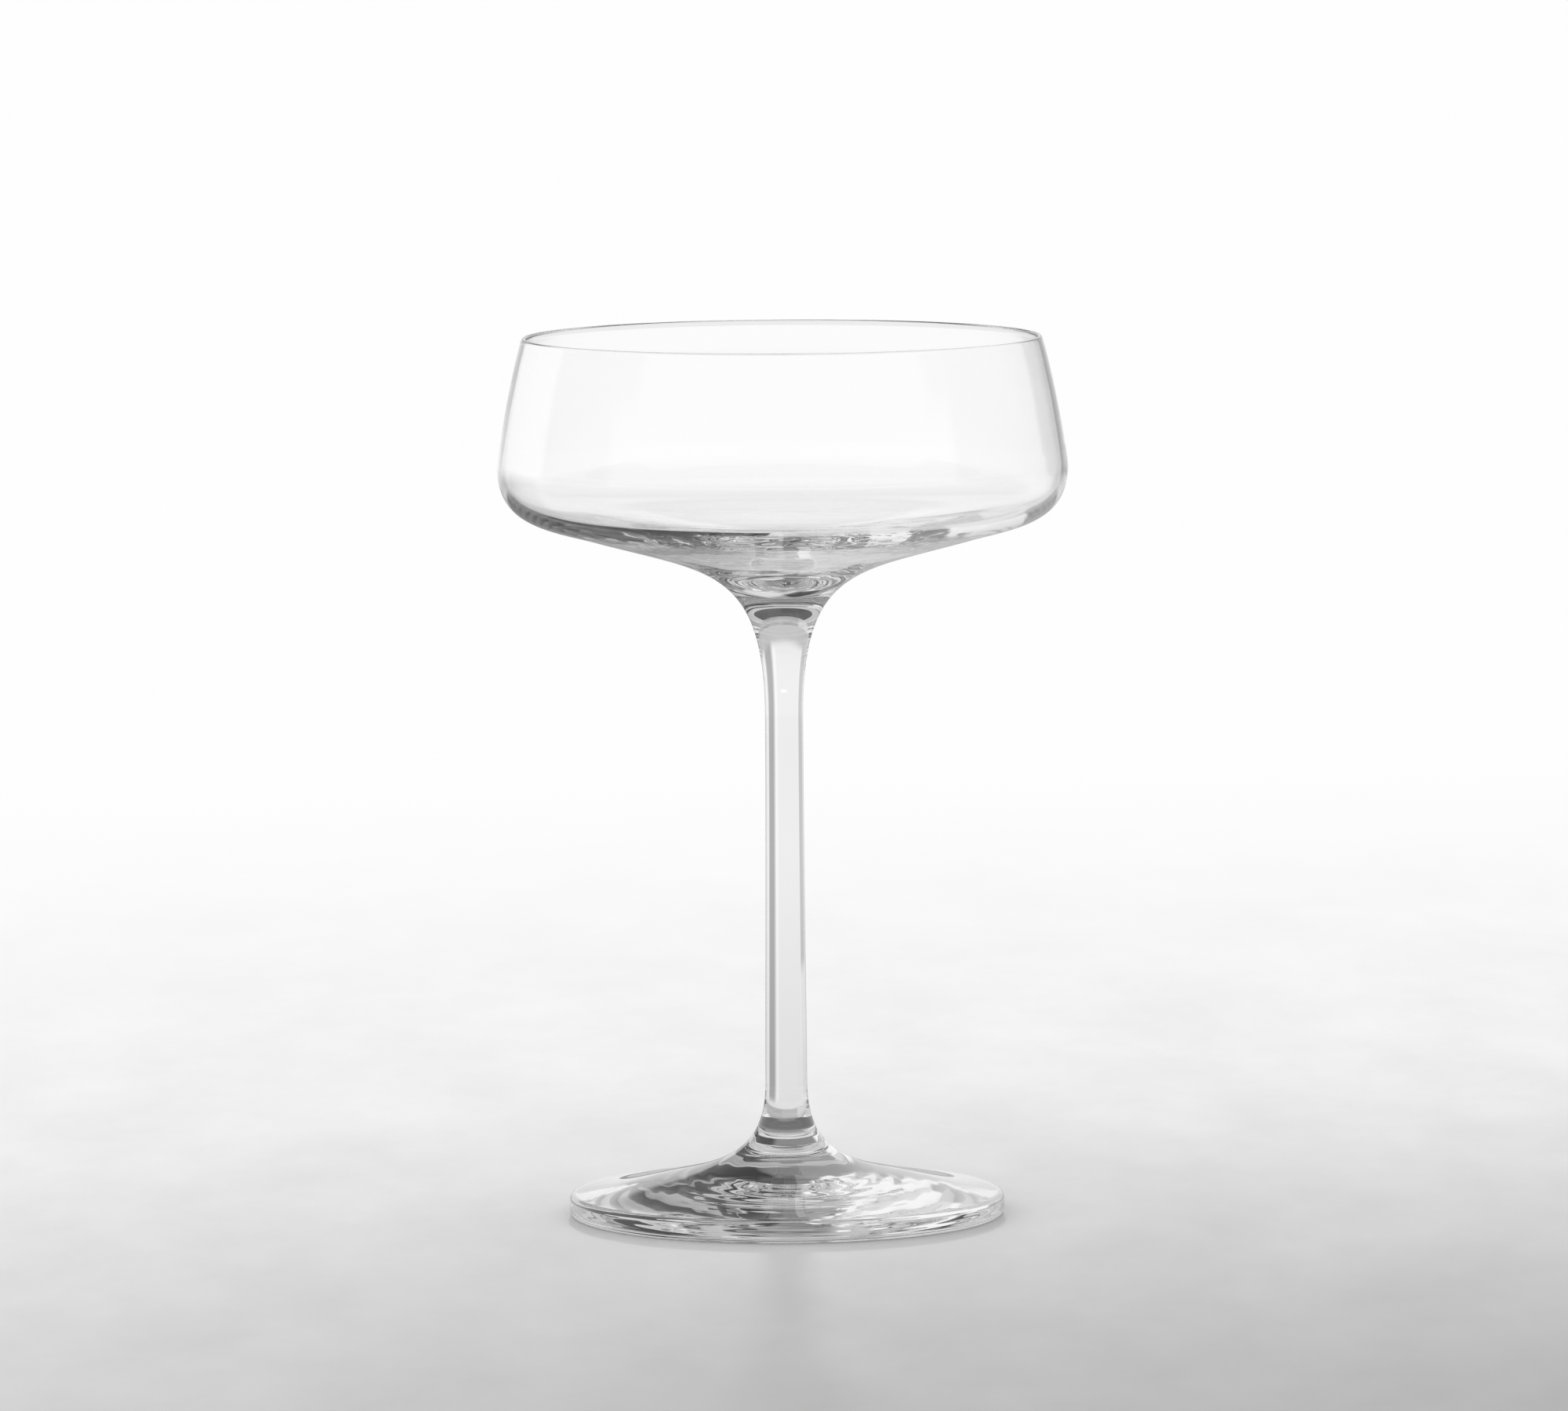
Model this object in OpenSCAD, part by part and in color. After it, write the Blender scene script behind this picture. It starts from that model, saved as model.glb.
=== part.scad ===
// Coupe glass in clear glass: a blown bowl, a drawn stem and a pressed foot, welded hot to each other.
// Millimetres, +Z up. The origin is the middle of the ring that the glass stands on.

/* [Overall] */
// Height from the table to the rim
glass_h = 161; // [150:1:190]

/* [Bowl] */
// Height from the weld on the stem to the rim
bowl_h = 52; // [48:0.5:58]
// Outer diameter at the widest place
bowl_d = 104; // [98:1:120]
// Outer diameter at the rim
rim_d = 94.8; // [84:0.2:97]
// Lean of the wall at the rim, in degrees from upright
rim_lean = 17; // [5:1:25]
// Depth of the widest place below the rim
wide_drop = 23.6; // [18:0.2:26]
// Diameter of the ring where the rounded shoulder runs out into the underside
turn_d = 72.4; // [62:0.2:80]
// Depth of that ring below the rim
turn_drop = 36.5; // [33:0.1:39]
// Slope of the underside at that ring, in degrees
underside_slope = 16; // [8:1:22]
// Thickness of the fire polished rim
rim_wall = 0.9; // [0.7:0.05:1.6]
// Thickness of the wall at the widest place
side_wall = 1.1; // [0.8:0.05:2]
// Thickness of the floor over the turn ring, measured upright
turn_wall = 2; // [1.4:0.1:4]
// Slope of the cup's floor at the turn ring, in degrees
floor_slope = 14; // [8:1:20]
// Solid glass between the weld and the lowest place of the cup
floor_h = 7; // [6:0.1:9]

/* [Stem] */
// Diameter where the stem is thinnest
stem_d = 6.9; // [6:0.1:8.5]
// Diameter low down, just before it flares to the foot
stem_low_d = 7.6; // [6.6:0.1:9]
// Diameter at the weld under the bowl
top_weld_d = 12.1; // [10.5:0.1:14]
// Slope of the glass at that weld, in degrees from level
top_weld_slope = 67; // [55:1:75]
// Length of the upper flare
top_flare_h = 18; // [12:0.5:24]
// Diameter at the weld on the foot
low_weld_d = 18.9; // [15:0.1:21]
// Slope of the glass at that weld, in degrees from level
low_weld_slope = 34; // [26:1:44]
// Length of the lower flare
low_flare_h = 13; // [9:0.5:18]

/* [Foot] */
// Outer diameter of the foot
foot_d = 79.6; // [70:0.2:92]
// Height of the weld above the table
foot_h = 11.5; // [10.5:0.1:14]
// Diameter of the ring where the cone runs out into the plate
plate_d = 40.6; // [34:0.2:50]
// Height of the foot's top face at that ring
plate_h = 7.6; // [6.4:0.1:8.6]
// Slope of the top face at that ring, in degrees
plate_slope = 12; // [6:1:18]
// Height of the foot's edge
edge_h = 4.1; // [3:0.1:5]
// Radius that rounds the edge above and below
edge_r = 1.2; // [0.5:0.1:1.4]
// Slope of the top face at the edge, in degrees
edge_slope = 3.5; // [1:0.5:8]
// Width of the flat ring that stands on the table
rest_w = 4.5; // [2:0.1:10]
// Rise of the underside in the middle of the foot
kick_h = 2.2; // [0.5:0.1:3.5]

/* [Hidden] */
$fn = 128;

// Colours of clear glass, a little apart so that the three pieces can be told from each other
bowl_tint = [0.86, 0.92, 0.94, 0.45];
stem_tint = [0.74, 0.84, 0.88, 0.6];
foot_tint = [0.80, 0.88, 0.91, 0.5];

// Steps in one curve, and in one rounded corner
curve_steps = 16;
corner_steps = 8;

// Heights of the two welds and of the rings of the bowl
low_weld_z = foot_h;
top_weld_z = glass_h - bowl_h;
wide_z = glass_h - wide_drop;
turn_z = glass_h - turn_drop;
cup_floor_z = top_weld_z + floor_h;

// Radii from the diameters
bowl_r = bowl_d / 2;
rim_r = rim_d / 2;
turn_r = turn_d / 2;
foot_r = foot_d / 2;
lip_r = rim_wall / 2;

// Lengths of the two handles of each curve, as shares of the straight line between its ends.
// Outside curves run upwards, and the two inside curves that follow them run back down.
underside_shares = [0.32, 0.50];
shoulder_shares = [0.37, 0.50];
wall_shares = [0.06, 0.32];
well_shares = [0.52, 0.10];
low_flare_shares = [0.32, 0.47];
shaft_shares = [0.16, 0.37];
top_flare_shares = [0.45, 0.25];
kick_shares = [0.42, 0.42];
plate_shares = [0.32, 0.42];
cone_shares = [0.40, 0.28];

// A direction in the outline: 0 is away from the axis, 90 is up
function dir(angle) = [cos(angle), sin(angle)];

// The same two handles for a curve that is drawn the other way
function back(shares) = [shares[1], shares[0]];

// A curve that leaves a towards heading a_dir and reaches b while heading along b_dir.
// Its first point is left out, because the stretch before it ends there.
function curve(a, a_dir, b, b_dir, shares) =
    let (span = norm(b - a), p = a + a_dir * span * shares[0], q = b - b_dir * span * shares[1])
    [for (i = [1 : curve_steps])
        let (t = i / curve_steps, u = 1 - t)
        a * pow(u, 3) + p * 3 * u * u * t + q * 3 * u * t * t + b * pow(t, 3)];

// A rounded corner of radius r about a centre, from one angle to another, also without its first point
function corner(centre, r, from, to) =
    [for (i = [1 : corner_steps]) centre + r * dir(from + (to - from) * i / corner_steps)];

// Points where the pieces meet the welds
top_weld_edge = [top_weld_d / 2, top_weld_z];
low_weld_edge = [low_weld_d / 2, low_weld_z];

// The solid that an outline makes when it turns about the axis
module turned(outline) {
    rotate_extrude() polygon(outline);
}

// The blown bowl: a cup with a steep wall that narrows to the rim, a rounded shoulder, and an underside
// that draws in to a solid stub over the stem
module bowl() {
    // Outside, from the weld up to the lip
    turn_out = [turn_r, turn_z];
    wide_out = [bowl_r, wide_z];
    lip_centre = [rim_r - lip_r * cos(rim_lean), glass_h - lip_r];
    lip_out = lip_centre + lip_r * dir(rim_lean);
    underside = curve(top_weld_edge, dir(top_weld_slope), turn_out, dir(underside_slope), underside_shares);
    shoulder = curve(turn_out, dir(underside_slope), wide_out, dir(90), shoulder_shares);
    wall = curve(wide_out, dir(90), lip_out, dir(90 + rim_lean), wall_shares);
    lip_rise = corner(lip_centre, lip_r, rim_lean, 90);
    lip_fall = corner(lip_centre, lip_r, 90, 180 + rim_lean);
    // Inside, from the lip down to the middle of the cup's floor
    lip_in = lip_centre - lip_r * dir(rim_lean);
    wide_in = [bowl_r - side_wall, wide_z];
    turn_in = [turn_r, turn_z + turn_wall];
    cup_floor = [0, cup_floor_z];
    wall_in = curve(lip_in, dir(rim_lean - 90), wide_in, dir(-90), back(wall_shares));
    shoulder_in = curve(wide_in, dir(-90), turn_in, dir(180 + floor_slope), back(shoulder_shares));
    well = curve(turn_in, dir(180 + floor_slope), cup_floor, dir(180), well_shares);
    color(bowl_tint)
        turned(concat([[0, top_weld_z], top_weld_edge], underside, shoulder, wall, lip_rise, lip_fall,
            wall_in, shoulder_in, well));
}

// The drawn stem: a thin rod that thickens a little downwards and flares at both ends
module stem() {
    thin = [stem_d / 2, top_weld_z - top_flare_h];
    low = [stem_low_d / 2, low_weld_z + low_flare_h];
    low_flare = curve(low_weld_edge, dir(180 - low_weld_slope), low, dir(90), low_flare_shares);
    shaft = curve(low, dir(90), thin, dir(90), shaft_shares);
    top_flare = curve(thin, dir(90), top_weld_edge, dir(top_weld_slope), top_flare_shares);
    color(stem_tint)
        turned(concat([[0, low_weld_z], low_weld_edge], low_flare, shaft, top_flare, [[0, top_weld_z]]));
}

// The pressed foot: a plate with a rounded edge that rises to a low cone under the stem.
// It stands on a flat ring near its edge, and the middle of its underside is raised.
module foot() {
    kick_top = [0, kick_h];
    rest_in = [foot_r - edge_r - rest_w, 0];
    rest_out = [foot_r - edge_r, 0];
    low_centre = [foot_r - edge_r, edge_r];
    top_centre = [foot_r - edge_r, edge_h - edge_r];
    side_top = [foot_r, edge_h - edge_r];
    plate_edge = top_centre + edge_r * dir(90 - edge_slope);
    plate_ring = [plate_d / 2, plate_h];
    kick = curve(kick_top, dir(0), rest_in, dir(0), kick_shares);
    low_corner = corner(low_centre, edge_r, -90, 0);
    top_corner = corner(top_centre, edge_r, 0, 90 - edge_slope);
    plate = curve(plate_edge, dir(180 - edge_slope), plate_ring, dir(180 - plate_slope), plate_shares);
    cone = curve(plate_ring, dir(180 - plate_slope), low_weld_edge, dir(180 - low_weld_slope), cone_shares);
    color(foot_tint)
        turned(concat([kick_top], kick, [rest_out], low_corner, [side_top], top_corner, plate, cone,
            [[0, low_weld_z]]));
}

bowl();
stem();
foot();
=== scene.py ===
# %% [markdown]
# A coupe glass in Blender
#
# The glass is three gathers of clear glass that a maker welds while they are hot: a blown bowl, a drawn
# stem and a pressed foot. Each is round about the same upright axis, so each is turned here from one
# outline, as on a lathe. The measured model is loaded first, and the visible pieces stand exactly where
# its plain solids are.

# %% Load the measured model
import math

import bpy
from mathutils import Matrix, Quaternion, Vector


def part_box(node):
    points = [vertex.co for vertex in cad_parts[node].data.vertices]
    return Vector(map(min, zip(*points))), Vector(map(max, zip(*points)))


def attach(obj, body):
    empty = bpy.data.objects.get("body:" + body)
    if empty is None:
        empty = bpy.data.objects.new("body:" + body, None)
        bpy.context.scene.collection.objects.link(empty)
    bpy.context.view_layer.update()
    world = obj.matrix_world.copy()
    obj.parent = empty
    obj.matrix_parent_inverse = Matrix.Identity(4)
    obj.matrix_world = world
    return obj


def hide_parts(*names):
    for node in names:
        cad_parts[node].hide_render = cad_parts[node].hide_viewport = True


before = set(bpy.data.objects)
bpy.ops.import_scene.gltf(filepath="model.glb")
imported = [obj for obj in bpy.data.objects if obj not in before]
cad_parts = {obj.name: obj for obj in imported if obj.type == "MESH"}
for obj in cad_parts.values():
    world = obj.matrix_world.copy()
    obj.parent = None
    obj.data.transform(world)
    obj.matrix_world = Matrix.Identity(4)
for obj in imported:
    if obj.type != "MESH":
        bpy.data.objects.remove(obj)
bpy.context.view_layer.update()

print("Nodes of the measured model:", ", ".join(sorted(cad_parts)))

# %% [markdown]
# The driving sizes come from the measured model's own boxes: the height of the glass, its widest
# diameter, the diameter of the foot and the heights of the two welds. What a box can't tell, such as the
# thickness of a wall, is a named size in millimetres beside the piece that needs it.

# %% Sizes from the model
mm = 0.001
bowl_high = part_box("bowl")[1]
stem_low, stem_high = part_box("stem")
foot_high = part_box("foot")[1]
glass_height = bowl_high.z
bowl_radius = bowl_high.x
foot_radius = foot_high.x
top_weld_height = stem_high.z
low_weld_height = stem_low.z
print(f"Height {glass_height / mm:.1f} mm, bowl {2 * bowl_radius / mm:.1f} mm across")
print(f"Foot {2 * foot_radius / mm:.1f} mm across, welds {low_weld_height / mm:.1f} and "
      f"{top_weld_height / mm:.1f} mm up")

# %% [markdown]
# Every outline is a chain of Bezier curves, the kind that a pen tool draws. One bend leaves its start
# with a heading and reaches its end with another, and its two handles are shares of the distance between
# them. Headings are in degrees, where 0 is away from the axis and 90 is up. Each bend also says into how
# many steps it is cut, so that small curls get fine steps and long calm lines get few.

# %% Bends of an outline
def heading(angle):
    """A unit step in the outline's plane, which is X and Z."""
    return Vector((math.cos(math.radians(angle)), 0, math.sin(math.radians(angle))))


def stop(radius, height):
    return Vector((radius, 0, height))


def bend(start, leave, end, arrive, shares, steps):
    """One curve, as start, two handles, end and number of steps."""
    span = (end - start).length
    first_handle = start + heading(leave) * span * shares[0]
    last_handle = end - heading(arrive) * span * shares[1]
    return start, first_handle, last_handle, end, steps


def straight(start, end):
    third = (end - start) / 3
    return start, start + third, end - third, end, 1


def corner(centre, radius, start_angle, end_angle, steps):
    """A round corner, drawn as one curve. It suits turns of up to about a quarter."""
    start = centre + heading(start_angle) * radius
    end = centre + heading(end_angle) * radius
    sweep = math.radians(end_angle - start_angle)
    handle = 4 / 3 * math.tan(abs(sweep) / 4) * radius / (end - start).length
    side = math.copysign(90, sweep)
    return bend(start, start_angle + side, end, end_angle + side, (handle, handle), steps)


# %% [markdown]
# The outline becomes a solid in the way that a mould is turned. The curve is converted to a row of
# points, and Spin carries that row once round the axis. Where the row comes back to its start, and where
# it touches the axis, the doubled points are merged, so the skin is closed. Edges sharper than thirty
# degrees stay sharp, which keeps the flat weld faces from bending the light beside them.

# %% Turn an outline into a closed piece
merge_distance = 0.0005 * mm
sharp_angle = math.radians(30)


def select_only(piece):
    bpy.ops.object.select_all(action="DESELECT")
    piece.select_set(True)
    bpy.context.view_layer.objects.active = piece


def draw_outline(name, bends):
    """The chain as one curve object with a spline for each bend, made into points joined by edges."""
    bpy.ops.object.select_all(action="DESELECT")
    bpy.ops.curve.primitive_bezier_curve_add(radius=1, location=(0, 0, 0))
    outline = bpy.context.object
    outline.name = name
    splines = outline.data.splines
    while len(splines) < len(bends):
        splines.new("BEZIER").bezier_points.add(1)
    for spline, (start, first_handle, last_handle, end, steps) in zip(splines, bends):
        spline.resolution_u = steps
        first, last = spline.bezier_points
        for point in (first, last):
            point.handle_left_type = point.handle_right_type = "FREE"
        first.co = first.handle_left = start
        first.handle_right = first_handle
        last.handle_left = last_handle
        last.co = last.handle_right = end
    bpy.ops.object.convert(target="MESH")
    return bpy.context.object


def turn_on_axis(outline, segments):
    """Spins the outline once round the upright axis and closes the seam and the poles."""
    select_only(outline)
    bpy.ops.object.mode_set(mode="EDIT")
    bpy.ops.mesh.select_all(action="SELECT")
    bpy.ops.mesh.spin(steps=segments, angle=2 * math.pi, center=(0, 0, 0), axis=(0, 0, 1))
    bpy.ops.mesh.select_all(action="SELECT")
    bpy.ops.mesh.remove_doubles(threshold=merge_distance)
    bpy.ops.mesh.normals_make_consistent(inside=False)
    bpy.ops.object.mode_set(mode="OBJECT")
    print(f"{outline.name}: {len(outline.data.polygons)} faces")
    return outline


def smooth_finish(piece):
    select_only(piece)
    bpy.ops.object.shade_smooth_by_angle(angle=sharp_angle)


# %% [markdown]
# A tool that is held to the turning glass leaves a shallow ring, and so does a weld. Such a ring is
# pressed into the outline before it is spun: the point at its height is pushed towards the axis, and
# proportional editing takes its neighbours along, less and less the farther off they are.

# %% Press a ring into an outline
def press_ring(outline, height, reach, depth):
    select_only(outline)
    bpy.ops.object.mode_set(mode="EDIT")
    bpy.ops.mesh.select_mode(type="VERT")
    bpy.ops.mesh.select_all(action="DESELECT")
    bpy.ops.object.mode_set(mode="OBJECT")
    skin = [point for point in outline.data.vertices if point.co.x > reach]
    nearest = min(abs(point.co.z - height) for point in skin)
    for point in skin:
        point.select = abs(point.co.z - height) < nearest + merge_distance
    bpy.ops.object.mode_set(mode="EDIT")
    bpy.ops.transform.translate(value=(-depth, 0, 0), use_proportional_edit=True,
                                proportional_edit_falloff="SMOOTH", proportional_size=reach)
    bpy.ops.object.mode_set(mode="OBJECT")
    print(f"{outline.name}: ring pressed in at {height / mm:.1f} mm")


# %% [markdown]
# The bowl is blown into a mould. Its wall is about a millimetre thick and leans in to the rim, the
# shoulder is tightly rounded, and the floor gets thicker towards the stub over the stem. The same blow
# shapes the outside and the inside, so both lines are drawn, with the fire-polished lip between them. The
# inside runs back down, so it takes the same handles the other way round.

# %% Bowl outline
rim_radius = 47.4 * mm
rim_lean = 17
rim_wall = 0.9 * mm
side_wall = 1.1 * mm
wide_height = glass_height - 23.6 * mm
turn_radius = 36.2 * mm
turn_height = glass_height - 36.5 * mm
turn_slope = 16
floor_slope = 14
floor_wall = 2.0 * mm
cup_floor_height = top_weld_height + 7.0 * mm
top_weld_radius = 6.05 * mm
top_weld_slope = 67
underside_handles = (0.32, 0.50)
shoulder_handles = (0.37, 0.50)
wall_handles = (0.06, 0.32)
well_handles = (0.52, 0.10)
round_segments = 256
fine_steps = 96
long_steps = 64
calm_steps = 32
curl_steps = 12


def bowl_outline():
    weld_middle = stop(0, top_weld_height)
    weld_edge = stop(top_weld_radius, top_weld_height)
    turn_outside = stop(turn_radius, turn_height)
    wide_outside = stop(bowl_radius, wide_height)
    lip_radius = rim_wall / 2
    lip_centre = stop(rim_radius - lip_radius * math.cos(math.radians(rim_lean)), glass_height - lip_radius)
    lip_outside = lip_centre + heading(rim_lean) * lip_radius
    lip_inside = lip_centre - heading(rim_lean) * lip_radius
    wide_inside = stop(bowl_radius - side_wall, wide_height)
    turn_inside = stop(turn_radius, turn_height + floor_wall)
    cup_floor = stop(0, cup_floor_height)
    return [
        straight(weld_middle, weld_edge),
        bend(weld_edge, top_weld_slope, turn_outside, turn_slope, underside_handles, long_steps),
        bend(turn_outside, turn_slope, wide_outside, 90, shoulder_handles, calm_steps),
        bend(wide_outside, 90, lip_outside, 90 + rim_lean, wall_handles, calm_steps),
        corner(lip_centre, lip_radius, rim_lean, 90, curl_steps),
        corner(lip_centre, lip_radius, 90, 180 + rim_lean, curl_steps),
        bend(lip_inside, rim_lean - 90, wide_inside, -90, wall_handles[::-1], calm_steps),
        bend(wide_inside, -90, turn_inside, 180 + floor_slope, shoulder_handles[::-1], calm_steps),
        bend(turn_inside, 180 + floor_slope, cup_floor, 180, well_handles, fine_steps),
    ]


bowl = turn_on_axis(draw_outline("glass_bowl", bowl_outline()), round_segments)

# %% [markdown]
# The stem is drawn from the bowl's own hot stub, so it is thinnest in the middle and flares at both ends.
# The maker shapes the lower flare against the foot with a wooden tool, which leaves three faint rings and
# a slightly deeper one along the weld.

# %% Stem outline
thin_radius = 3.45 * mm
thin_height = top_weld_height - 18 * mm
low_radius = 3.8 * mm
low_height = low_weld_height + 13 * mm
low_weld_radius = 9.45 * mm
low_weld_slope = 34
low_flare_handles = (0.32, 0.47)
shaft_handles = (0.16, 0.37)
top_flare_handles = (0.45, 0.25)
tool_ring_heights = (13.6 * mm, 14.7 * mm, 16.3 * mm)
tool_ring_reach = 0.6 * mm
tool_ring_depth = 0.02 * mm
weld_ring_reach = 1.0 * mm
weld_ring_depth = 0.04 * mm
stem_segments = 160


def stem_outline():
    low_edge = stop(low_weld_radius, low_weld_height)
    low = stop(low_radius, low_height)
    thin = stop(thin_radius, thin_height)
    top_edge = stop(top_weld_radius, top_weld_height)
    return [
        straight(stop(0, low_weld_height), low_edge),
        bend(low_edge, 180 - low_weld_slope, low, 90, low_flare_handles, fine_steps),
        bend(low, 90, thin, 90, shaft_handles, calm_steps),
        bend(thin, 90, top_edge, top_weld_slope, top_flare_handles, long_steps),
        straight(top_edge, stop(0, top_weld_height)),
    ]


stem_line = draw_outline("glass_stem", stem_outline())
for ring_height in tool_ring_heights:
    press_ring(stem_line, ring_height, tool_ring_reach, tool_ring_depth)
press_ring(stem_line, low_weld_height, weld_ring_reach, weld_ring_depth)
stem = turn_on_axis(stem_line, stem_segments)

# %% [markdown]
# The foot is a gather that is pressed and then spun flat. Its edge is rounded, it stands on a flat ring,
# and its underside rises in the middle, so that the glass doesn't rock. The weld's ring runs on over the
# top of its cone, so the same ring is pressed into both outlines.

# %% Foot outline
edge_height = 4.1 * mm
edge_radius = 1.2 * mm
edge_slope = 3.5
plate_radius = 20.3 * mm
plate_height = 7.6 * mm
plate_slope = 12
rest_width = 4.5 * mm
kick_height = 2.2 * mm
kick_handles = (0.42, 0.42)
plate_handles = (0.32, 0.42)
cone_handles = (0.40, 0.28)


def foot_outline():
    kick_top = stop(0, kick_height)
    rest_outer = stop(foot_radius - edge_radius, 0)
    rest_inner = rest_outer - stop(rest_width, 0)
    low_centre = stop(foot_radius - edge_radius, edge_radius)
    top_centre = stop(foot_radius - edge_radius, edge_height - edge_radius)
    side_low = low_centre + heading(0) * edge_radius
    side_top = top_centre + heading(0) * edge_radius
    plate_edge = top_centre + heading(90 - edge_slope) * edge_radius
    plate_ring = stop(plate_radius, plate_height)
    weld_edge = stop(low_weld_radius, low_weld_height)
    return [
        bend(kick_top, 0, rest_inner, 0, kick_handles, fine_steps),
        straight(rest_inner, rest_outer),
        corner(low_centre, edge_radius, -90, 0, curl_steps),
        straight(side_low, side_top),
        corner(top_centre, edge_radius, 0, 90 - edge_slope, curl_steps),
        bend(plate_edge, 180 - edge_slope, plate_ring, 180 - plate_slope, plate_handles, calm_steps),
        bend(plate_ring, 180 - plate_slope, weld_edge, 180 - low_weld_slope, cone_handles, long_steps),
        straight(weld_edge, stop(0, low_weld_height)),
    ]


foot_line = draw_outline("glass_foot", foot_outline())
press_ring(foot_line, low_weld_height, weld_ring_reach, weld_ring_depth)
foot = turn_on_axis(foot_line, round_segments)

# %% [markdown]
# Spinning the soft foot leaves ripples in its underside, round a middle that is a little off the axis.
# They are only hundredths of a millimetre high, but clear glass turns them into rings of light and dark.
# A Displace modifier makes them from the rings of Blender's wood texture. An empty at their middle
# centres the rings, its size sets how far apart they are, and a weight lets them die out in the very
# middle and before the ring that the glass stands on.

# %% Ripples under the foot
ripple_centre = (0.9 * mm, -0.5 * mm)
ripple_length = 3.4 * mm
ripple_height = 0.017 * mm
ripple_end = 31 * mm
wood_ring_length = 2 * math.pi / 20


def displace(piece, group, texture, strength, middle=None):
    """Moves the weighted points along their normals by a texture, half of it inwards."""
    select_only(piece)
    bpy.ops.object.modifier_add(type="DISPLACE")
    push = piece.modifiers[-1]
    push.texture = texture
    push.texture_coords = "OBJECT" if middle else "LOCAL"
    push.texture_coords_object = middle
    push.vertex_group = group.name
    push.strength = strength
    push.mid_level = 0.5
    bpy.ops.object.modifier_apply(modifier=push.name)


def ripple_underside(piece):
    group = piece.vertex_groups.new(name="underside")
    low = edge_radius + kick_height
    for point in piece.data.vertices:
        far = math.hypot(point.co.x - ripple_centre[0], point.co.y - ripple_centre[1])
        if point.co.z < low and point.normal.z < 0 and far < ripple_end:
            group.add([point.index], math.sin(math.pi * far / ripple_end), "REPLACE")
    bpy.ops.object.empty_add(location=(*ripple_centre, 0))
    middle = bpy.context.object
    middle.scale = [ripple_length / wood_ring_length] * 3
    rings = bpy.data.textures.new("rings", "WOOD")
    rings.wood_type = "RINGS"
    rings.noise_basis_2 = "SIN"
    displace(piece, group, rings, -2 * ripple_height, middle)
    bpy.data.objects.remove(middle)
    print(f"{piece.name}: underside rippled {ripple_height / mm:.3f} mm high")


ripple_underside(foot)

# %% [markdown]
# Where the bowl's floor was gathered, the glass never becomes quite even, and the maker's turns leave
# faint swirls. The same modifier moves the floor of the cup along its normals by a soft cloud, weighted so
# that only its middle moves.

# %% Swirls in the floor of the bowl
swirl_size = 6 * mm
swirl_height = 0.17 * mm
swirl_inner = 26 * mm
swirl_outer = 36 * mm
upward = 0.3


def swirl_floor(piece):
    group = piece.vertex_groups.new(name="swirl")
    for point in piece.data.vertices:
        far = math.hypot(point.co.x, point.co.y)
        weight = min(1, max(0, (swirl_outer - far) / (swirl_outer - swirl_inner)))
        inside = point.normal.z > upward and point.co.z < wide_height
        if inside and weight > 0:
            group.add([point.index], weight, "REPLACE")
    cloud = bpy.data.textures.new("swirl", "CLOUDS")
    cloud.noise_scale = swirl_size
    cloud.noise_depth = 1
    displace(piece, group, cloud, swirl_height)
    print(f"{piece.name}: floor swirled")


swirl_floor(bowl)
for piece in (bowl, stem, foot):
    smooth_finish(piece)

# %% [markdown]
# Crown glass of this kind is colourless and bends light by an index of 1.51. The same clear glass goes on
# all three pieces, but each was shaped in another way, and that shows in its skin: the mould leaves the
# bowl slightly wavy, drawing leaves fine lines along the stem, and pressing leaves the foot a little
# uneven. So each piece has its own bump and its own trace of roughness from noise nodes.

# %% Clear glass
glass_index = 1.51
haze_start = 0.45
haze_full = 0.75


def new_material(name):
    material = bpy.data.materials.new(name)
    material.use_nodes = True
    nodes = material.node_tree.nodes
    nodes.clear()
    return material, nodes, material.node_tree.links


def clear_glass(name, stretch, scale, bump_height, roughness_most):
    """Glass whose noise is stretched by three factors and becomes bump, and a trace of roughness."""
    material, nodes, links = new_material(name)
    output = nodes.new("ShaderNodeOutputMaterial")
    glass = nodes.new("ShaderNodeBsdfPrincipled")
    glass.inputs["Base Color"].default_value = (1, 1, 1, 1)
    glass.inputs["IOR"].default_value = glass_index
    glass.inputs["Transmission Weight"].default_value = 1.0
    place = nodes.new("ShaderNodeTexCoord")
    mapping = nodes.new("ShaderNodeMapping")
    mapping.inputs["Scale"].default_value = stretch
    noise = nodes.new("ShaderNodeTexNoise")
    noise.inputs["Scale"].default_value = scale
    noise.inputs["Detail"].default_value = 2
    bump = nodes.new("ShaderNodeBump")
    bump.inputs["Strength"].default_value = 1
    bump.inputs["Distance"].default_value = bump_height
    haze = nodes.new("ShaderNodeMapRange")
    haze.inputs["From Min"].default_value = haze_start
    haze.inputs["From Max"].default_value = haze_full
    haze.inputs["To Min"].default_value = 0.0
    haze.inputs["To Max"].default_value = roughness_most
    links.new(place.outputs["Object"], mapping.inputs["Vector"])
    links.new(mapping.outputs["Vector"], noise.inputs["Vector"])
    links.new(noise.outputs["Fac"], bump.inputs["Height"])
    links.new(noise.outputs["Fac"], haze.inputs["Value"])
    links.new(haze.outputs["Result"], glass.inputs["Roughness"])
    links.new(bump.outputs["Normal"], glass.inputs["Normal"])
    links.new(glass.outputs["BSDF"], output.inputs["Surface"])
    print("Made", name)
    return material


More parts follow.
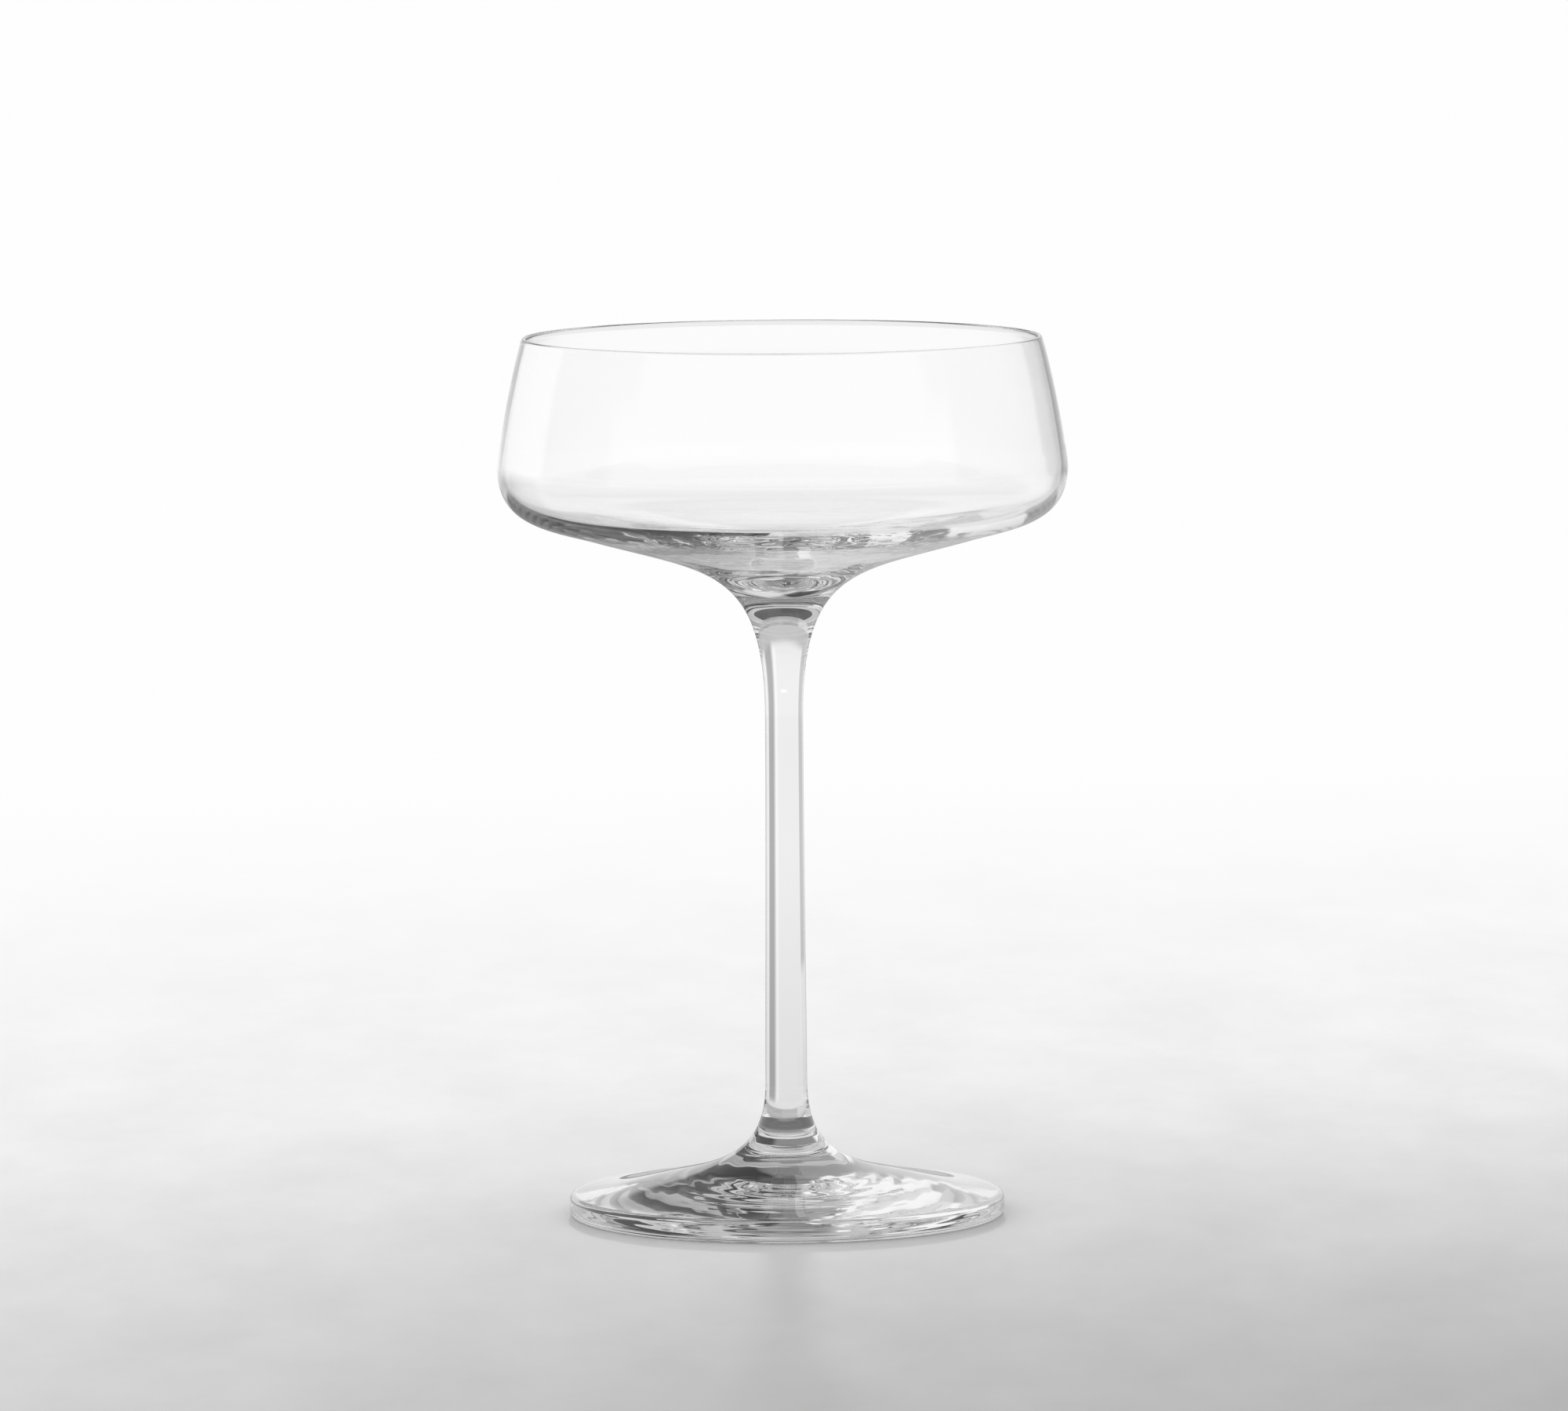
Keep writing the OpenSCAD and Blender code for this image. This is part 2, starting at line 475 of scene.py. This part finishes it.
most_haze = 0.012
bowl_glass = clear_glass("blown_glass", stretch=(1, 1, 3), scale=60, bump_height=0.008 * mm,
                         roughness_most=most_haze)
stem_glass = clear_glass("drawn_glass", stretch=(1, 1, 0.05), scale=900, bump_height=0.002 * mm,
                         roughness_most=most_haze)
foot_glass = clear_glass("pressed_glass", stretch=(1, 1, 1), scale=90, bump_height=0.0015 * mm,
                         roughness_most=most_haze)

# %% [markdown]
# A hot weld has no surface left inside it: the glass simply goes on. The flat faces where two pieces meet
# therefore let light straight through, and every other face gets the glass. They are picked by their
# normal and their height.

# %% Welds, and who replaces what
weld_reach = 0.01 * mm
level_enough = 0.999


def weld_plane(name):
    material, nodes, links = new_material(name)
    output = nodes.new("ShaderNodeOutputMaterial")
    through = nodes.new("ShaderNodeBsdfTransparent")
    links.new(through.outputs["BSDF"], output.inputs["Surface"])
    return material


weld = weld_plane("hot_weld")


def dress(piece, glass, weld_heights):
    piece.data.materials.clear()
    piece.data.materials.append(glass)
    piece.data.materials.append(weld)
    count = 0
    for face in piece.data.polygons:
        flat = abs(face.normal.z) > level_enough
        if flat and any(abs(face.center.z - height) < weld_reach for height in weld_heights):
            face.material_index = 1
            count += 1
    print(f"{piece.name}: {count} faces in the welds")


dress(bowl, bowl_glass, [top_weld_height])
dress(stem, stem_glass, [top_weld_height, low_weld_height])
dress(foot, foot_glass, [low_weld_height])
for piece, node in ((bowl, "bowl"), (stem, "stem"), (foot, "foot")):
    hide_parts(node)
    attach(piece, "root")

# %% [markdown]
# Clear glass shows nothing of its own, only what stands round it. A photographer therefore builds a small
# room of light: a white backdrop, soft boxes at the sides and dark cards beside them, whose edges draw
# the dark lines in the stem and foot. The cards here are soft patches in a pattern of directions, in
# degrees: turn goes from the backdrop towards the right, and climb goes up. The next helpers compute
# such patches with math nodes.

# %% Node helpers
def value_into(links, value, socket):
    """Sets a plain number on a socket, or links another node's output to it."""
    if isinstance(value, (int, float)):
        socket.default_value = value
    else:
        links.new(value, socket)


def calculate(nodes, links, operation, first, second=0.0):
    step = nodes.new("ShaderNodeMath")
    step.operation = operation
    value_into(links, first, step.inputs[0])
    value_into(links, second, step.inputs[1])
    return step.outputs[0]


def smooth_step(nodes, links, value, low, high, out_low=0.0, out_high=1.0):
    step = nodes.new("ShaderNodeMapRange")
    step.interpolation_type = "SMOOTHSTEP"
    step.inputs["From Min"].default_value = low
    step.inputs["From Max"].default_value = high
    step.inputs["To Min"].default_value = out_low
    step.inputs["To Max"].default_value = out_high
    links.new(value, step.inputs["Value"])
    return step.outputs["Result"]


def vector_math(nodes, links, operation, vector, other=(0, 0, 0)):
    """A number for LENGTH and DISTANCE, and a vector for SUBTRACT."""
    step = nodes.new("ShaderNodeVectorMath")
    step.operation = operation
    links.new(vector, step.inputs[0])
    step.inputs[1].default_value = other
    return step.outputs["Vector" if operation == "SUBTRACT" else "Value"]


def blended(nodes, links, factor, low, high):
    mix = nodes.new("ShaderNodeMix")
    mix.data_type = "FLOAT"
    for socket, value in ((mix.inputs[0], factor), (mix.inputs[2], low), (mix.inputs[3], high)):
        value_into(links, value, socket)
    return mix.outputs[0]


def band(nodes, links, value, low, high, soft):
    """1 between two angles in degrees, and 0 past their soft edges."""
    low, high, soft = math.radians(low), math.radians(high), math.radians(soft)
    rise = smooth_step(nodes, links, value, low - soft, low)
    fall = smooth_step(nodes, links, value, high, high + soft, 1.0, 0.0)
    return calculate(nodes, links, "MULTIPLY", rise, fall)


# %% [markdown]
# Four lists of cards make the room. Light that passes straight through a wall or the stem meets the
# first one. Light that was turned round inside the glass meets the second, which is darker, as the side
# of a real studio away from its lamps is, or the third, where it also crossed the cup. The mirror image
# on the outer skin shows the fourth. Each card is its brightness, then the turn and the climb that it
# spans: from, to, and how soft its edges are. Later cards cover earlier ones.

# %% Cards round the glass
every_turn = (-180, 180, 1)
solid_cards = [
    (0.97, every_turn, (-90, 90, 1)),
    (0.87, (-33, 12, 5), (-60, 12, 5)),
    (0.41, (26, 39, 9), (-60, 40, 6)),
    (0.84, (-60, -40, 5), (-60, -20, 2)),
    (0.54, (-60, -40, 5), (-18, 20, 2)),
    (0.55, (-60, 60, 20), (14, 90, 6)),
]
inner_cards = [
    (0.22, every_turn, (-90, 90, 1)),
    (0.45, every_turn, (-90, -14, 6)),
    (0.90, every_turn, (-4, 17, 5)),
    (0.22, (-100, 100, 8), (-4, 17, 5)),
    (0.60, (-32, 30, 5), (-14, -2, 4)),
    (0.90, every_turn, (20, 44, 5)),
    (0.18, (-110, 110, 8), (16, 90, 5)),
    (0.95, (-62, -22, 5), (-1, 30, 5)),
    (0.22, (-18, 6, 5), (-1, 32, 5)),
    (0.03, (10, 100, 5), (-4, 42, 5)),
    (0.09, every_turn, (44, 90, 6)),
    (0.30, (-32, -2, 4), (-30, -15, 4)),
    (0.04, (-30, -3, 4), (-64, -28, 4)),
    (0.85, (4, 34, 4), (-64, -27, 5)),
]
far_cards = [
    (1.00, every_turn, (-90, 90, 1)),
    (0.30, (-30, -2, 5), (-16, 0, 4)),
    (0.55, every_turn, (26, 90, 10)),
]
mirror_cards = [
    (1.00, every_turn, (-90, 90, 1)),
    (0.20, (-45, -2, 4), (18, 90, 4)),
    (0.66, (-110, 110, 8), (-90, -28, 5)),
    (0.30, (-60, -1, 8), (-30, -7, 4)),
    (0.50, (1, 34, 8), (-30, -7, 4)),
]
print("Cards:", len(solid_cards), "straight,", len(inner_cards), "inner,", len(far_cards), "far,",
      len(mirror_cards), "mirrored")

# %% [markdown]
# A ray finds its card by its direction, and its list by how it came. The Light Path node counts how often
# a ray went through a skin of glass and how often one threw it back. A wall is gone through in two steps,
# so a ray that has gone through more than two skins has met a second piece of glass. The two limits lie
# between whole counts.

# %% What glass sees
once = 0.5
one_wall = 2.5


def angles_of(nodes, links, direction):
    """The turn and the climb of a direction."""
    split = nodes.new("ShaderNodeSeparateXYZ")
    links.new(direction, split.inputs["Vector"])
    turn = calculate(nodes, links, "ARCTAN2", split.outputs["X"], split.outputs["Y"])
    square_x = calculate(nodes, links, "MULTIPLY", split.outputs["X"], split.outputs["X"])
    square_y = calculate(nodes, links, "MULTIPLY", split.outputs["Y"], split.outputs["Y"])
    run = calculate(nodes, links, "SQRT", calculate(nodes, links, "ADD", square_x, square_y))
    climb = calculate(nodes, links, "ARCTAN2", split.outputs["Z"], run)
    return turn, climb


def room_level(nodes, links, turn, climb, cards):
    """How bright the room is in one direction, by one list of cards."""
    level = cards[0][0]
    for brightness, turns, climbs in cards[1:]:
        cover = band(nodes, links, climb, *climbs)
        if turns is not every_turn:
            cover = calculate(nodes, links, "MULTIPLY", cover, band(nodes, links, turn, *turns))
        level = blended(nodes, links, cover, level, brightness)
    return level


def glass_sight(nodes, links, turn, climb):
    """What glass sees, by how the light came: straight, turned inside it, or off its outer skin."""
    path = nodes.new("ShaderNodeLightPath")
    reflected = calculate(nodes, links, "GREATER_THAN", path.outputs["Glossy Depth"], once)
    refracted = calculate(nodes, links, "GREATER_THAN", path.outputs["Transmission Depth"], once)
    crossed_cup = calculate(nodes, links, "GREATER_THAN", path.outputs["Transmission Depth"], one_wall)
    solid = room_level(nodes, links, turn, climb, solid_cards)
    inner = room_level(nodes, links, turn, climb, inner_cards)
    far = room_level(nodes, links, turn, climb, far_cards)
    mirror = room_level(nodes, links, turn, climb, mirror_cards)
    inner = blended(nodes, links, crossed_cup, inner, far)
    turned = blended(nodes, links, refracted, mirror, inner)
    return blended(nodes, links, reflected, solid, turned)


# %% [markdown]
# Only glass sees the cards. An eye sees a plain white room, and so do two kinds of straight rays, which in
# the real room end on bare white: those that crossed the cup and run level or down, and those that leave
# towards the near side, where no card stands. Light that has met the table lights things plainly too.

# %% Who sees the cards
level_climb = (2, 8)
near_side = (-78, 78, 8)


def who_looks(nodes, links, turn, climb):
    """Three shares: the ray comes from eye or glass, from glass, and from glass that sees the cards."""
    path = nodes.new("ShaderNodeLightPath")
    sent = calculate(nodes, links, "MAXIMUM", path.outputs["Is Glossy Ray"],
                     path.outputs["Is Transmission Ray"])
    first_sight = calculate(nodes, links, "LESS_THAN", path.outputs["Diffuse Depth"], once)
    by_glass = calculate(nodes, links, "MULTIPLY", sent, first_sight)
    straight_on = calculate(nodes, links, "LESS_THAN", path.outputs["Glossy Depth"], once)
    crossed_cup = calculate(nodes, links, "GREATER_THAN", path.outputs["Transmission Depth"], one_wall)
    low_climb, high_climb = (math.radians(angle) for angle in level_climb)
    level_or_down = smooth_step(nodes, links, climb, low_climb, high_climb, 1.0, 0.0)
    through_cup = calculate(nodes, links, "MULTIPLY", crossed_cup, level_or_down)
    to_near_side = calculate(nodes, links, "SUBTRACT", 1.0, band(nodes, links, turn, *near_side))
    plain = calculate(nodes, links, "MAXIMUM", through_cup, to_near_side)
    plain = calculate(nodes, links, "MULTIPLY", plain, straight_on)
    by_cards = calculate(nodes, links, "MULTIPLY", by_glass,
                         calculate(nodes, links, "SUBTRACT", 1.0, plain))
    by_eye = calculate(nodes, links, "MAXIMUM", path.outputs["Is Camera Ray"], by_glass)
    return by_eye, by_glass, by_cards


# %% [markdown]
# The table is a pale stone top with a faint cloudy mottle. It is matt and takes the shadow. Its colour also
# has painted shade: it is darkest on the near side, a little to the right, as a falloff of light would be.

# %% Stone of the table, with painted shade
# Painted shade: the stone's colour is darkest round this point and lighter farther off, like a falloff of
# light.
painted_shade_centre = (0.20, -0.40, 0)
painted_shade_reach = (0.12, 0.66)
painted_shade_levels = (0.48, 0.90)
mottle_stretch = (1, 0.4, 1)
mottle_scale = 30
mottle_roughness = 0.62
mottle_from = (0.3, 0.7)
mottle_to = (0.95, 1.05)


def floor_mottle(nodes, links, place):
    """Soft clouds with a finer grain in them, near 1."""
    mapping = nodes.new("ShaderNodeMapping")
    mapping.inputs["Scale"].default_value = mottle_stretch
    links.new(place, mapping.inputs["Vector"])
    clouds = nodes.new("ShaderNodeTexNoise")
    clouds.inputs["Scale"].default_value = mottle_scale
    clouds.inputs["Detail"].default_value = 7
    clouds.inputs["Roughness"].default_value = mottle_roughness
    links.new(mapping.outputs["Vector"], clouds.inputs["Vector"])
    cloud = nodes.new("ShaderNodeMapRange")
    cloud.inputs["From Min"].default_value, cloud.inputs["From Max"].default_value = mottle_from
    cloud.inputs["To Min"].default_value, cloud.inputs["To Max"].default_value = mottle_to
    links.new(clouds.outputs["Fac"], cloud.inputs["Value"])
    return cloud.outputs["Result"]


def stone_surface(nodes, links, place, from_painted_shade_centre):
    # Painted shade: the stone's colour darkens towards the centre of the painted shade.
    painted_shade = smooth_step(nodes, links, from_painted_shade_centre, *painted_shade_reach, *painted_shade_levels)
    colour = calculate(nodes, links, "MULTIPLY", painted_shade, floor_mottle(nodes, links, place))
    stone = nodes.new("ShaderNodeBsdfDiffuse")
    links.new(colour, stone.inputs["Color"])
    return stone.outputs["BSDF"]


# %% [markdown]
# Far off, the table fades to the white of the backdrop, so that no horizon shows. Glass sees the cards on
# it instead, a little dimmer near the foot, in directions that are counted from a point in the low part of
# the bowl. Right behind the glass, a strip of the table is the white sweep of the backdrop, which the back
# wall of the cup shows. Under the foot, glass sees a painted shadow on the table: a glowing level, darkest
# in the middle and along the front, that stands in for the foot's shadow and the light that gets through
# it.

# %% What is seen on the table
sight_height = 0.118
white_level = 0.99
near_reach = (0.10, 0.60)
near_levels = (0.86, 1.0)
sweep_rise = (2.10, 2.30)
sweep_fall = (2.65, 2.85)
sweep_turn = (-5, 5, 2)
foot_edge_reach = 6 * mm
# Painted shadow under the foot: glowing levels that glass sees there, darkest in the middle and along the
# front.
under_painted_shadow_reach = (9 * mm, 27 * mm)
under_painted_shadow_levels = (0.12, 0.56)
front_painted_shadow_reach = (-38 * mm, -8 * mm)
front_painted_shadow_levels = (0.18, 1.0)
eye_fade = (0.45, 1.25)
card_fade = (0.046, 0.085)


def white_sweep(nodes, links, from_axis, turn):
    """The share of the backdrop's strip, for rays that no skin threw back."""
    path = nodes.new("ShaderNodeLightPath")
    share = calculate(nodes, links, "LESS_THAN", path.outputs["Glossy Depth"], once)
    rise = smooth_step(nodes, links, from_axis, *sweep_rise)
    fall = smooth_step(nodes, links, from_axis, *sweep_fall, 1.0, 0.0)
    for edge in (rise, fall, band(nodes, links, turn, *sweep_turn)):
        share = calculate(nodes, links, "MULTIPLY", share, edge)
    return share


def under_foot(nodes, links, place, from_axis):
    """How far the foot covers the table, and the painted shadow level that glass sees on the table under
    it.
    """
    cover = smooth_step(nodes, links, from_axis, foot_radius, foot_radius + foot_edge_reach, 1.0, 0.0)
    spot = nodes.new("ShaderNodeSeparateXYZ")
    links.new(place, spot.inputs["Vector"])
    middle = smooth_step(nodes, links, from_axis, *under_painted_shadow_reach, *under_painted_shadow_levels)
    front = smooth_step(nodes, links, spot.outputs["Y"], *front_painted_shadow_reach, *front_painted_shadow_levels)
    return cover, calculate(nodes, links, "MULTIPLY", middle, front)


def table_sight(nodes, links, place, from_painted_shade_centre):
    """The level seen on the table, and the share by which it takes the place of the stone."""
    from_axis = vector_math(nodes, links, "LENGTH", place)
    direction = vector_math(nodes, links, "SUBTRACT", place, (0, 0, sight_height))
    turn, climb = angles_of(nodes, links, direction)
    by_eye, by_glass, by_cards = who_looks(nodes, links, turn, climb)
    near_dim = smooth_step(nodes, links, from_axis, *near_reach, *near_levels)
    level = calculate(nodes, links, "MULTIPLY", glass_sight(nodes, links, turn, climb), near_dim)
    level = blended(nodes, links, white_sweep(nodes, links, from_axis, turn), level, 1.0)
    level = blended(nodes, links, by_cards, white_level, level)
    fade_eye = smooth_step(nodes, links, from_painted_shade_centre, *eye_fade)
    fade_cards = smooth_step(nodes, links, from_axis, *card_fade)
    share = blended(nodes, links, by_cards, fade_eye, fade_cards)
    cover, under_painted_shadow = under_foot(nodes, links, place, from_axis)
    cover = calculate(nodes, links, "MULTIPLY", cover, by_glass)
    # Glass sees the painted shadow under the foot in place of the lit table.
    level = blended(nodes, links, cover, level, under_painted_shadow)
    share = calculate(nodes, links, "MAXIMUM", share, cover)
    return level, calculate(nodes, links, "MULTIPLY", share, by_eye)


# %% [markdown]
# The table top is one wide disc. It lies a hair below the foot, so that glass and stone don't share a
# face.

# %% Floor
floor_reach = 6.0
floor_gap = 0.05 * mm
floor_corners = 96


def floor_material():
    material, nodes, links = new_material("pale_floor")
    output = nodes.new("ShaderNodeOutputMaterial")
    place = nodes.new("ShaderNodeTexCoord").outputs["Object"]
    from_painted_shade_centre = vector_math(nodes, links, "DISTANCE", place, painted_shade_centre)
    level, share = table_sight(nodes, links, place, from_painted_shade_centre)
    glow = nodes.new("ShaderNodeEmission")
    links.new(level, glow.inputs["Color"])
    mix = nodes.new("ShaderNodeMixShader")
    links.new(share, mix.inputs["Fac"])
    links.new(stone_surface(nodes, links, place, from_painted_shade_centre), mix.inputs[1])
    links.new(glow.outputs["Emission"], mix.inputs[2])
    links.new(mix.outputs["Shader"], output.inputs["Surface"])
    return material


bpy.ops.object.select_all(action="DESELECT")
bpy.ops.mesh.primitive_circle_add(vertices=floor_corners, radius=floor_reach, fill_type="NGON",
                                  location=(0, 0, -floor_gap))
floor = bpy.context.object
floor.name = "studio_floor"
floor.data.materials.append(floor_material())
print("Floor reaches", floor_reach, "m from the glass")

# %% [markdown]
# The world is the rest of the room. It lights the table evenly, at a plain level at which colours look as
# they are written. The camera sees it white, and the glass sees the cards.

# %% World
light_level = 0.82
camera_white = 0.985


def studio_world():
    world = bpy.data.worlds.new("studio")
    world.use_nodes = True
    nodes, links = world.node_tree.nodes, world.node_tree.links
    nodes.clear()
    output = nodes.new("ShaderNodeOutputWorld")
    place = nodes.new("ShaderNodeTexCoord")
    turn, climb = angles_of(nodes, links, place.outputs["Generated"])
    by_eye, _, by_cards = who_looks(nodes, links, turn, climb)
    plain = blended(nodes, links, by_eye, light_level, camera_white)
    level = blended(nodes, links, by_cards, plain, glass_sight(nodes, links, turn, climb))
    glow = nodes.new("ShaderNodeBackground")
    links.new(level, glow.inputs["Color"])
    links.new(glow.outputs["Background"], output.inputs["Surface"])
    return world


bpy.context.scene.world = studio_world()
print(f"World: {light_level} for the table, {camera_white} for an eye")

# %% [markdown]
# One low lamp stands far behind the glass. It throws the soft streak of shadow that runs from the foot
# towards the camera. A sun lamp gives the same light everywhere, and a wide angle makes its shadow soft.
# Glass doesn't see the lamp itself, which would draw white bars in it.

# %% Back light
back_light_down = 21
back_light_width = 5
back_light_share = 0.14
bpy.ops.object.light_add(type="SUN", location=(0, 1.5, 0.6))
back_light = bpy.context.object
back_light.name = "back_light"
back_light.data.energy = math.pi * back_light_share / math.sin(math.radians(back_light_down))
back_light.data.angle = math.radians(back_light_width)
back_light.rotation_euler = (math.radians(back_light_down - 90), 0, 0)
back_light.visible_glossy = False
back_light.visible_transmission = False
print("Back light strength:", round(back_light.data.energy, 2))

# %% [markdown]
# The camera looks down at the glass by less than six degrees, from two metres away through a long lens,
# which keeps the rim and the foot nearly flat ellipses. It is rolled by a third of a degree, as the
# picture of the real glass is.

# %% Camera
view_down = math.radians(5.62)
view_distance = 2.109
aim_height = 93.5 * mm
view_roll = math.radians(0.36)
lens_length = 265.4
camera_data = bpy.data.cameras.new("camera")
camera = bpy.data.objects.new("camera", camera_data)
bpy.context.scene.collection.objects.link(camera)
bpy.context.scene.camera = camera
camera_data.sensor_width = 36
camera_data.lens = lens_length
camera_data.clip_end = 50
aim = Vector((0, 0, aim_height))
camera.location = aim + view_distance * Vector((0, -math.cos(view_down), math.sin(view_down)))
camera.rotation_mode = "QUATERNION"
look = (aim - camera.location).to_track_quat("-Z", "Y")
camera.rotation_quaternion = look @ Quaternion((0, 0, 1), -view_roll)
print("Camera at", tuple(round(value, 3) for value in camera.location))

# %% [markdown]
# Light can run a long way inside the bowl's shell before it comes out, turning at the skin dozens of
# times. The limits on bounces are therefore high: with fewer, those places would go black.

# %% Render limits
bounce_limit = 96
scene = bpy.context.scene
scene.view_settings.view_transform = "Standard"
scene.cycles.max_bounces = bounce_limit
scene.cycles.transmission_bounces = bounce_limit
scene.cycles.glossy_bounces = bounce_limit
scene.cycles.transparent_max_bounces = bounce_limit
print("Light may turn up to", bounce_limit, "times")
